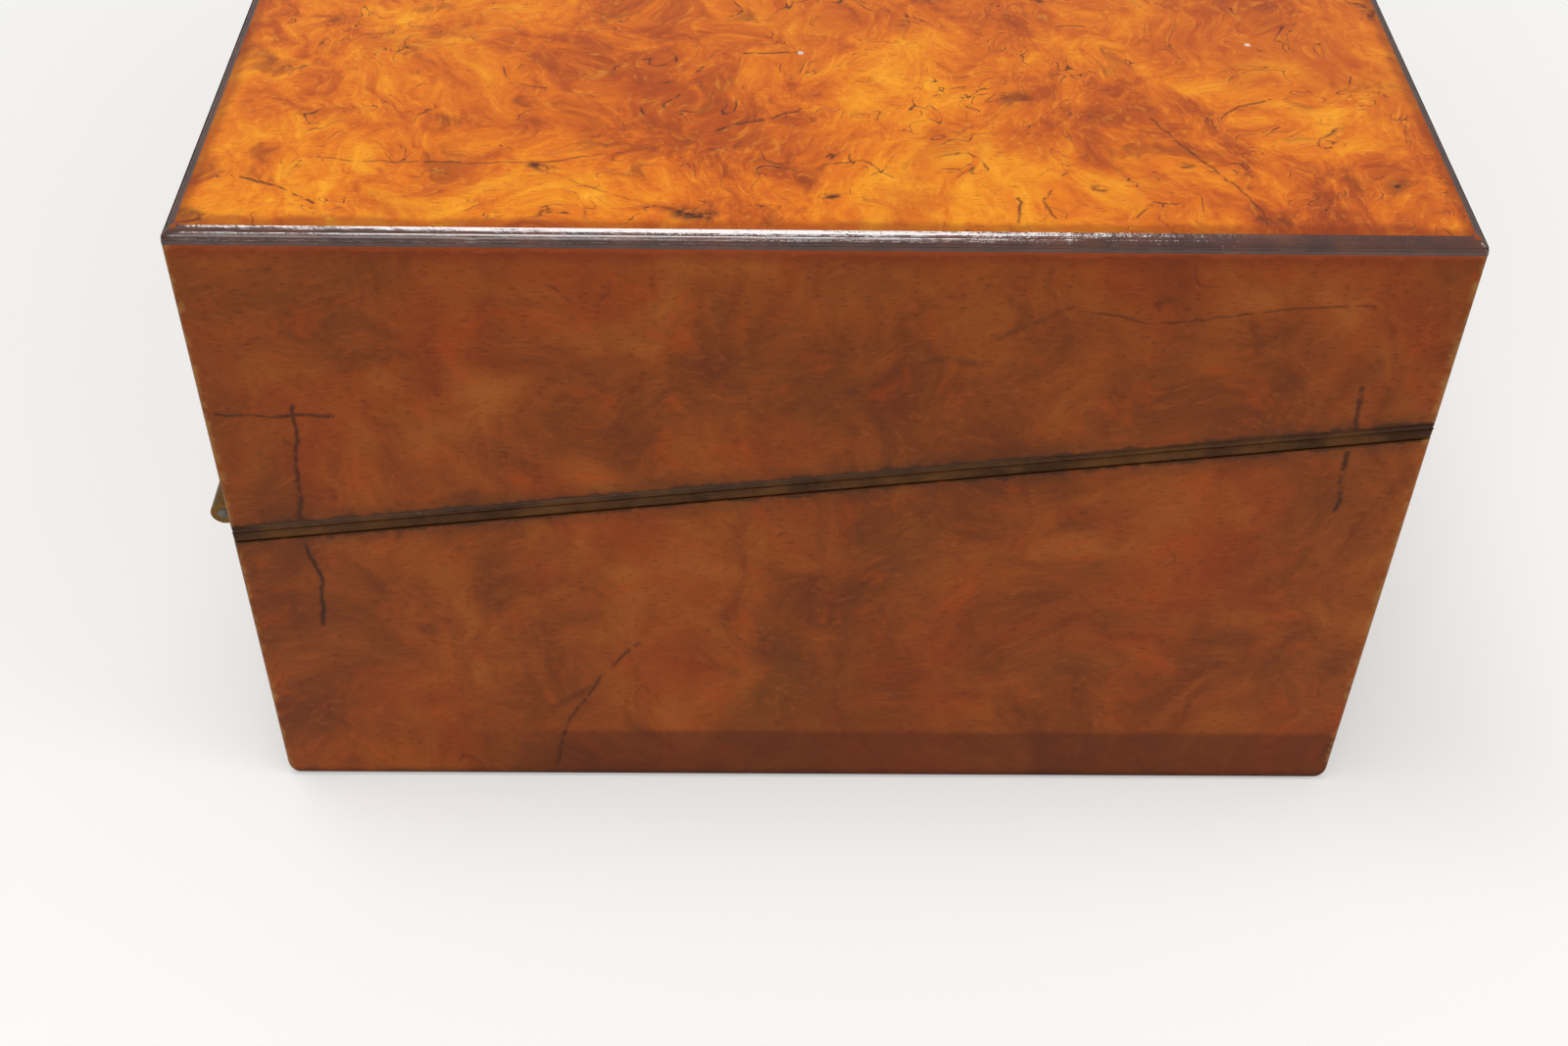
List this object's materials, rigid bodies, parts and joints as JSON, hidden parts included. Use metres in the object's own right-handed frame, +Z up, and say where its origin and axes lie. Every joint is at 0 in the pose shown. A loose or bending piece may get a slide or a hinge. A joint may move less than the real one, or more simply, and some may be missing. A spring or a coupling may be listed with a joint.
{
  "type": "writing slope",
  "caption": "Closed antique writing slope: a veneered wooden box sawn on a slant that opens on side hinges into a sloping desk.",
  "frame": {"origin": "middle of the flat underside", "axes": "+X from the hinge side to the lock side, +Y along the hinge line away from the end in the picture, +Z up"},
  "size_m": [0.247, 0.356, 0.152],
  "materials": {
    "top_burr_walnut": "glossy polished burr walnut veneer",
    "side_burr_walnut": "darker semi-gloss polished burr walnut veneer",
    "dark_edging": "dark stained, polished hardwood",
    "rim_walnut": "satin polished straight-grain walnut",
    "inner_mahogany": "satin polished mahogany",
    "carcase_pine": "unpolished softwood",
    "flap_leather": "worn green leather with a darker border",
    "brass": "aged satin brass",
    "screw_brass": "aged brass",
    "steel": "dull steel",
    "inkwell_glass": "clear moulded glass",
    "green_baize": "felted wool"
  },
  "bodies": {
    "base": {"base_bottom_board": "carcase_pine", "base_far_end_veneer": "side_burr_walnut", "base_far_end_wall": "carcase_pine", "base_flap_hinges": "brass", "base_flap_leather": "flap_leather", "base_flap_ledges": "inner_mahogany", "base_hinge_side_veneer": "side_burr_walnut", "base_hinge_wall": "carcase_pine", "base_lock_side_veneer": "side_burr_walnut", "base_lock_wall": "carcase_pine", "base_near_end_veneer": "side_burr_walnut", "base_near_end_wall": "carcase_pine", "base_rim_facings": "rim_walnut", "base_screws": "screw_brass", "base_stringing": "dark_edging", "base_writing_flap": "inner_mahogany", "cap_hinge_pins": "steel", "escutcheon": "brass", "far_hinge_base_leaf": "brass", "far_inkwell": "inkwell_glass", "far_inkwell_collar": "brass", "hinge_pins": "steel", "inkwell_pads": "green_baize", "lock_case": "brass", "near_hinge_base_leaf": "brass", "near_inkwell": "inkwell_glass", "near_inkwell_collar": "brass", "pen_tray": "inner_mahogany", "stamp_cover": "inner_mahogany", "till_divider": "inner_mahogany", "till_floor": "inner_mahogany", "till_partitions": "inner_mahogany", "tray_bearers": "inner_mahogany"},
    "lid": {"lid_top_board": "carcase_pine", "lid_top_veneer": "top_burr_walnut", "lid_hinge_wall": "carcase_pine", "lid_lock_wall": "carcase_pine", "lid_near_end_wall": "carcase_pine", "lid_far_end_wall": "carcase_pine", "lid_rim_facings": "rim_walnut", "near_hinge_lid_leaf": "brass", "far_hinge_lid_leaf": "brass", "lid_screws": "screw_brass", "link_plate": "brass", "lid_writing_flap": "inner_mahogany", "lid_flap_leather": "flap_leather", "lid_flap_hinges": "brass", "lid_flap_ledges": "inner_mahogany", "flap_catch_plate": "brass", "lid_near_end_veneer": "side_burr_walnut", "lid_far_end_veneer": "side_burr_walnut", "lid_hinge_side_veneer": "side_burr_walnut", "lid_lock_side_veneer": "side_burr_walnut", "lid_stringing": "dark_edging", "lid_edge_bead": "dark_edging"},
    "lock_bolt": {"lock_bolt": "steel"},
    "flap_catch": {"flap_catch_bolt": "brass"},
    "near_inkwell_cap": {"near_inkwell_cap": "brass"},
    "far_inkwell_cap": {"far_inkwell_cap": "brass"}
  },
  "joints": [
    {"name": "lid_hinge", "type": "hinge", "parent": "base", "child": "lid", "pos_m": [-0.1236, 0, 0.076], "axis": [0, -1, 0], "range_deg": [0, 180]},
    {"name": "lock_bolt_slide", "type": "slide", "parent": "base", "child": "lock_bolt", "axis": [0, 1, 0], "range_m": [0, 0.005]},
    {"name": "flap_catch_slide", "type": "slide", "parent": "lid", "child": "flap_catch", "axis": [0.992, 0, 0.126], "range_m": [0, 0.004]},
    {"name": "near_inkwell_cap_hinge", "type": "hinge", "parent": "base", "child": "near_inkwell_cap", "pos_m": [0.09225, -0.146, 0.0773], "axis": [0, 1, 0], "range_deg": [0, 100]},
    {"name": "far_inkwell_cap_hinge", "type": "hinge", "parent": "base", "child": "far_inkwell_cap", "pos_m": [0.09225, 0.146, 0.0773], "axis": [0, 1, 0], "range_deg": [0, 100]}
  ]
}
